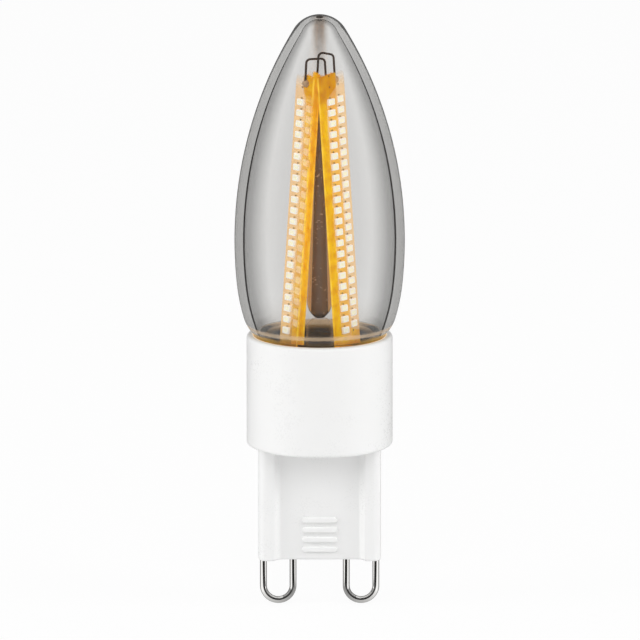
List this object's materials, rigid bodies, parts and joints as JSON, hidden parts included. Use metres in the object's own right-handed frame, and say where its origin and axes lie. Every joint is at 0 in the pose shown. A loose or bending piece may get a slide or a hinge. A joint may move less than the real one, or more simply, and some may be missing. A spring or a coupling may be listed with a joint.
{
  "type": "led capsule bulb",
  "caption": "Slim bullet-shaped lamp with a smoked clear cover over leaning amber light strips, a white collar and a flat base with wire loop contacts.",
  "frame": {"origin": "centre of the pin base's flat underside, midway between the two contact loops", "axes": "+Z along the lamp's axis from the contact loops to the cover's tip, +X from the left loop to the right loop, +Y away from the viewer of the picture"},
  "size_m": [0.0184, 0.0184, 0.0652],
  "materials": {
    "smoked_glass": "clear smoke tint, polished",
    "white_plastic": "satin moulded",
    "bright_wire": "bright plated wire",
    "amber_film": "translucent amber film",
    "light_chip": "white package with a pale yellow face",
    "link_wire": "dark drawn wire",
    "solder": "bright solder",
    "black_board": "gloss black mask",
    "stem_glass": "smoky brown glass",
    "green_board": "green mask",
    "black_component": "matte moulded",
    "capacitor_can": "plain can",
    "resistor_body": "enamel"
  },
  "bodies": {
    "root": {"glass_cover": "smoked_glass", "collar": "white_plastic", "pin_base": "white_plastic", "contact_pin_left": "bright_wire", "contact_pin_right": "bright_wire", "strip_film_front_left": "amber_film", "strip_film_front_right": "amber_film", "strip_film_rear_left": "amber_film", "strip_film_rear_right": "amber_film", "chip_row_front_left": "light_chip", "chip_row_front_right": "light_chip", "chip_row_rear_left": "light_chip", "chip_row_rear_right": "light_chip", "wire_link_front": "link_wire", "wire_link_rear": "link_wire", "link_solder": "solder", "pad_solder": "solder", "neck_board": "black_board", "glass_stem": "stem_glass", "driver_board": "green_board", "bridge_rectifier": "black_component", "driver_chip": "black_component", "smoothing_capacitor": "capacitor_can", "fuse_resistor": "resistor_body"}
  },
  "joints": []
}
